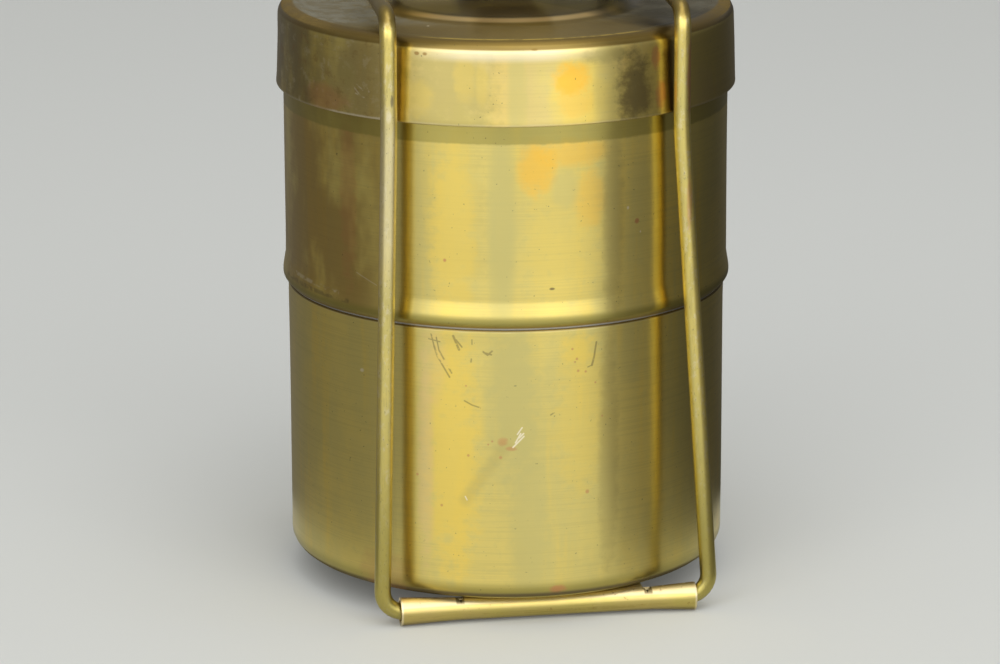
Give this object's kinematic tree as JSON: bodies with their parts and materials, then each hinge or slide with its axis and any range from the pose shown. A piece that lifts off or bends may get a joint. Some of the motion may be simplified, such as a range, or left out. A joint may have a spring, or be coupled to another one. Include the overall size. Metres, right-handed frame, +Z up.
{
  "type": "tiffin carrier",
  "caption": "Brass tiffin carrier: stacked food containers under a lid, held between two hinged wire frames that latch on top and carry a folding handle.",
  "frame": {"origin": "on the floor, under the containers' common axis, at the middle of the whole object's footprint", "axes": "+X along the base barrels, to the right as seen from the front; -Y is the front, the side of the frame with the catch; +Z is up"},
  "size_m": [0.1294, 0.1294, 0.1865],
  "materials": {
    "strap_brass": "rolled sheet, worn satin, pale",
    "lower_brass": "spun sheet, fine rings, mottled patina, tinned inside",
    "upper_brass": "spun sheet, fine rings, mottled patina, tinned inside",
    "lid_brass": "spun sheet, brown tarnish at the edges",
    "rod_brass": "drawn rod, satin, pitted",
    "sheet_brass": "flat sheet, satin",
    "grip_brass": "rolled sheet, polished by the hand"
  },
  "bodies": {
    "base": {"base_strap": "strap_brass"},
    "lower_container": {"lower_container": "lower_brass"},
    "upper_container": {"upper_container": "upper_brass"},
    "lid": {"lid": "lid_brass"},
    "front_frame": {"front_frame": "rod_brass", "catch_plate": "sheet_brass", "catch_staple": "rod_brass"},
    "rear_frame": {"rear_frame": "rod_brass"},
    "hasp": {"hasp": "sheet_brass"},
    "handle": {"handle_bail": "rod_brass"},
    "grip": {"handle_grip": "grip_brass"}
  },
  "joints": [
    {"name": "front_frame_swing", "type": "hinge", "parent": "base", "child": "front_frame", "pos_m": [0, -0.05481, 0.00383], "axis": [1, 0, 0], "range_deg": [0, 90]},
    {"name": "rear_frame_swing", "type": "hinge", "parent": "base", "child": "rear_frame", "pos_m": [0, 0.05481, 0.00383], "axis": [-1, 0, 0], "range_deg": [0, 90]},
    {"name": "lower_lift", "type": "slide", "parent": "base", "child": "lower_container", "axis": [0, 0, 1], "range_m": [0, 0.0091]},
    {"name": "upper_lift", "type": "slide", "parent": "lower_container", "child": "upper_container", "axis": [0, 0, 1], "range_m": [0, 0.0081]},
    {"name": "lid_lift", "type": "slide", "parent": "upper_container", "child": "lid", "axis": [0, 0, 1], "range_m": [0, 0.0221]},
    {"name": "hasp_swing", "type": "hinge", "parent": "rear_frame", "child": "hasp", "pos_m": [-0.00085, 0.006, 0.17357], "axis": [1, 0, 0], "range_deg": [0, 175]},
    {"name": "handle_swing", "type": "hinge", "parent": "rear_frame", "child": "handle", "pos_m": [-0.00085, 0.006, 0.17357], "axis": [1, 0, 0], "range_deg": [0, 130]},
    {"name": "grip_turn", "type": "hinge", "parent": "handle", "child": "grip", "pos_m": [-0.00085, 0.0501, 0.1768], "axis": [1, 0, 0], "continuous": true}
  ],
  "couplings": [
    {"joint": "rear_frame_swing", "follows": "front_frame_swing", "ratio": 1},
    {"joint": "lower_lift", "follows": "front_frame_swing", "m_per_rad": 0.0057296},
    {"joint": "upper_lift", "follows": "front_frame_swing", "m_per_rad": 0.005093},
    {"joint": "lid_lift", "follows": "front_frame_swing", "m_per_rad": 0.014006}
  ]
}
